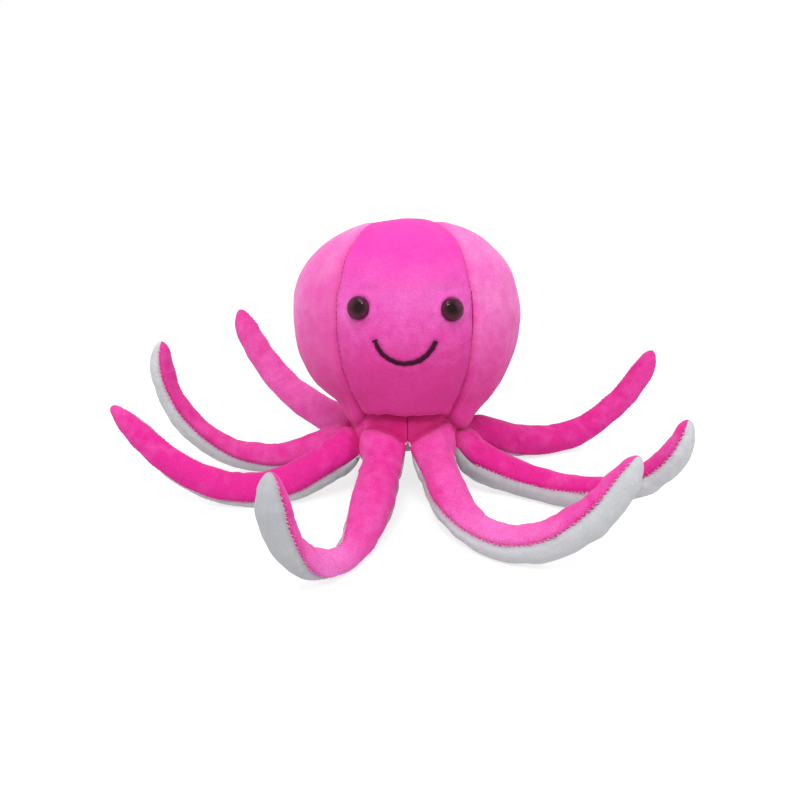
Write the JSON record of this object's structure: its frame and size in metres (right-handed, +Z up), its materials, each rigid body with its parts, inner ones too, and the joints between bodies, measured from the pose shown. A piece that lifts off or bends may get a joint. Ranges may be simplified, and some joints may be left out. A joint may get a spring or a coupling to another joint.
{
  "type": "plush octopus",
  "caption": "Plush octopus with a ball head of sewn panels, safety eyes, a stitched smile and stuffed arms, pink above and white below.",
  "frame": {"origin": "centre of the flat underside of the trunk, which hangs above the floor between the arms", "axes": "+Z up, -Y the way the face looks, +X to the right of someone facing it"},
  "size_m": [0.3617, 0.3393, 0.1639],
  "materials": {
    "pink_plush": "matte",
    "side_plush": "matte",
    "white_plush": "matte",
    "stuffing": "matte",
    "mouth_thread": "satin",
    "eye_plastic": "gloss",
    "washer_plastic": "matte"
  },
  "bodies": {
    "trunk": {"trunk_top": "pink_plush", "trunk_base": "white_plush", "trunk_filling": "stuffing"},
    "head": {"head_front_panel": "pink_plush", "head_side_panel_right": "side_plush", "head_back_panel_right": "side_plush", "head_back_panel_left": "side_plush", "head_side_panel_left": "side_plush", "head_filling": "stuffing", "left_eye": "eye_plastic", "left_eye_washer": "washer_plastic", "right_eye": "eye_plastic", "right_eye_washer": "washer_plastic", "mouth_stitching": "mouth_thread"},
    "arm_front_left": {"arm_front_left_top": "pink_plush", "arm_front_left_under": "white_plush", "arm_front_left_filling": "stuffing"},
    "arm_front_right": {"arm_front_right_top": "pink_plush", "arm_front_right_under": "white_plush", "arm_front_right_filling": "stuffing"},
    "arm_mid_right": {"arm_mid_right_top": "pink_plush", "arm_mid_right_under": "white_plush", "arm_mid_right_filling": "stuffing"},
    "arm_rear_right": {"arm_rear_right_top": "pink_plush", "arm_rear_right_under": "white_plush", "arm_rear_right_filling": "stuffing"},
    "arm_back_right": {"arm_back_right_top": "pink_plush", "arm_back_right_under": "white_plush", "arm_back_right_filling": "stuffing"},
    "arm_back_left": {"arm_back_left_top": "pink_plush", "arm_back_left_under": "white_plush", "arm_back_left_filling": "stuffing"},
    "arm_rear_left": {"arm_rear_left_top": "pink_plush", "arm_rear_left_under": "white_plush", "arm_rear_left_filling": "stuffing"},
    "arm_mid_left": {"arm_mid_left_top": "pink_plush", "arm_mid_left_under": "white_plush", "arm_mid_left_filling": "stuffing"}
  },
  "joints": [
    {"name": "head_nod", "type": "hinge", "parent": "trunk", "child": "head", "pos_m": [0, 0, 0.0055], "axis": [1, 0, 0], "range_deg": [0, 14]},
    {"name": "front_left_lift", "type": "hinge", "parent": "trunk", "child": "arm_front_left", "pos_m": [-0.01225, -0.02928, 0.00962], "axis": [-0.9744, 0.225, 0], "range_deg": [-15, 25]},
    {"name": "front_right_lift", "type": "hinge", "parent": "trunk", "child": "arm_front_right", "pos_m": [0.01225, -0.02928, 0.00962], "axis": [-0.9272, -0.3746, 0], "range_deg": [-15, 25]},
    {"name": "mid_right_lift", "type": "hinge", "parent": "trunk", "child": "arm_mid_right", "pos_m": [0.02956, -0.01213, 0.0072], "axis": [-0.2419, -0.9703, 0], "range_deg": [-15, 20]},
    {"name": "rear_right_lift", "type": "hinge", "parent": "trunk", "child": "arm_rear_right", "pos_m": [0.02956, 0.01213, 0.0038], "axis": [0.454, -0.891, 0], "range_deg": [-15, 7]},
    {"name": "back_right_lift", "type": "hinge", "parent": "trunk", "child": "arm_back_right", "pos_m": [0.01225, 0.02928, 0.00138], "axis": [0.9272, -0.3746, 0], "range_deg": [-15, 6]},
    {"name": "back_left_lift", "type": "hinge", "parent": "trunk", "child": "arm_back_left", "pos_m": [-0.01225, 0.02928, 0.00138], "axis": [0.9063, 0.4226, 0], "range_deg": [-15, 6]},
    {"name": "rear_left_lift", "type": "hinge", "parent": "trunk", "child": "arm_rear_left", "pos_m": [-0.02956, 0.01213, 0.0038], "axis": [0.225, 0.9744, 0], "range_deg": [-15, 7]},
    {"name": "mid_left_lift", "type": "hinge", "parent": "trunk", "child": "arm_mid_left", "pos_m": [-0.02956, -0.01213, 0.0072], "axis": [-0.454, 0.891, 0], "range_deg": [-15, 20]}
  ]
}
